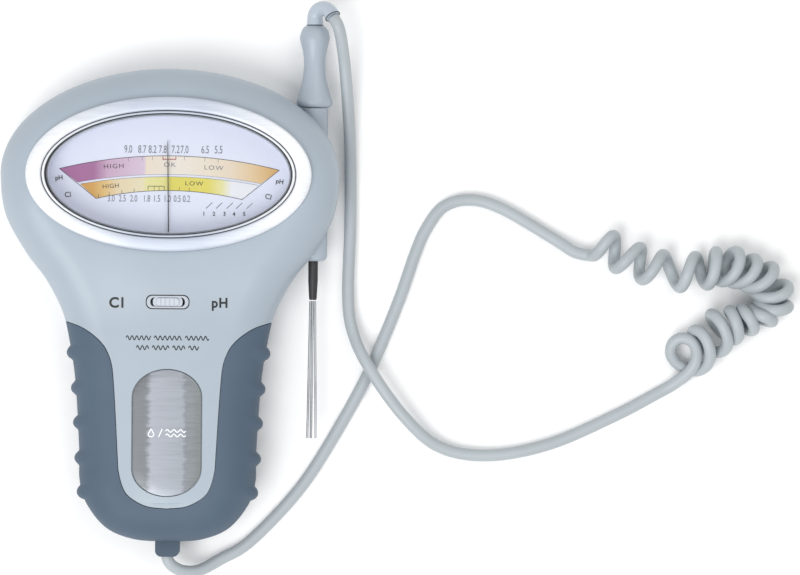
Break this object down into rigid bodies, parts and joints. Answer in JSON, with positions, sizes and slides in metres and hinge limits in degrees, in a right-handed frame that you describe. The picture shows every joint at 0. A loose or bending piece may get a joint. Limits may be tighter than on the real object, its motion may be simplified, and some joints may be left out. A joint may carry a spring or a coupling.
{
  "type": "water tester",
  "caption": "Handheld pool water tester: needle meter behind an oval lens, slide switch, rubber grip, and a rod probe on a coiled cord parked in a side holster.",
  "frame": {"origin": "centre of the bounding box of the case and parked probe, at the flat back the tester lies on; the free cord is not counted", "axes": "+Z out of the dial, +Y from the cord gland towards the head, +X towards the probe's side"},
  "size_m": [0.2849, 0.2081, 0.0354],
  "materials": {
    "bezel": "brushed",
    "board": "satin",
    "brass": "satin",
    "case_front": "satin",
    "case_rear": "satin",
    "coil": "satin",
    "cord": "satin",
    "dial": "matt",
    "elbow": "milky",
    "gland": "matt",
    "grip": "matt",
    "handle": "satin",
    "holster": "satin",
    "iron": "matt",
    "knob": "matt",
    "label": "brushed",
    "lens": "clear",
    "magnet": "satin",
    "needle": "satin",
    "needle_hub": "satin",
    "resistor": "satin",
    "seal": "matt",
    "shank": "satin",
    "sleeve": "satin",
    "steel": "satin",
    "switch_guide": "matt",
    "trimmer": "satin",
    "wire": "satin",
    "wire_red": "satin"
  },
  "bodies": {
    "housing": {"bezel_ring": "bezel", "board_screw_1": "steel", "board_screw_2": "steel", "cable_clamp": "steel", "cable_gland": "gland", "capacitor": "trimmer", "case_screw_1": "steel", "case_screw_2": "steel", "case_screw_3": "steel", "case_screw_4": "steel", "circuit_board": "board", "cord_coil": "cord", "cord_lead_lower": "cord", "cord_lead_upper": "cord", "core_arm_far": "brass", "core_arm_near": "brass", "core_magnet": "magnet", "dial_plate": "dial", "dial_screw_1": "steel", "dial_screw_2": "steel", "dial_screw_3": "steel", "front_case": "case_front", "grip_sleeve": "grip", "jewel_screw_lower": "brass", "jewel_screw_upper": "brass", "label_plate": "label", "lens_gasket": "seal", "lens_window": "lens", "meter_base": "steel", "probe_holster": "holster", "rear_case": "case_rear", "resistor_left": "resistor", "resistor_right": "resistor", "switch_body": "steel", "switch_guide": "switch_guide", "trimmer_left": "trimmer", "trimmer_right": "trimmer", "upper_bridge": "steel", "wire_left": "wire", "wire_right": "wire_red", "yoke_ring": "iron"},
    "needle": {"needle": "needle", "needle_hub": "needle_hub", "needle_tail": "brass", "shaft_upper": "steel", "shaft_lower": "steel", "moving_coil": "coil", "hairspring": "brass"},
    "switch": {"switch_knob": "knob"},
    "probe": {"probe_handle": "handle", "probe_shank": "shank", "cord_elbow": "elbow", "tip_sleeve": "sleeve", "electrode_left": "steel", "electrode_middle": "steel", "electrode_right": "steel"}
  },
  "joints": [
    {"name": "needle_swing", "type": "hinge", "parent": "housing", "child": "needle", "pos_m": [0, 0.0092, 0.0252], "axis": [0, 0, 1], "range_deg": [-50, 50], "stiffness_Nm_per_rad": 0.0001},
    {"name": "switch_slide", "type": "slide", "parent": "housing", "child": "switch", "axis": [1, 0, 0], "range_m": [-0.002, 0.002]},
    {"name": "probe_pull", "type": "slide", "parent": "housing", "child": "probe", "axis": [0, 1, 0], "range_m": [0, 0.125]}
  ]
}
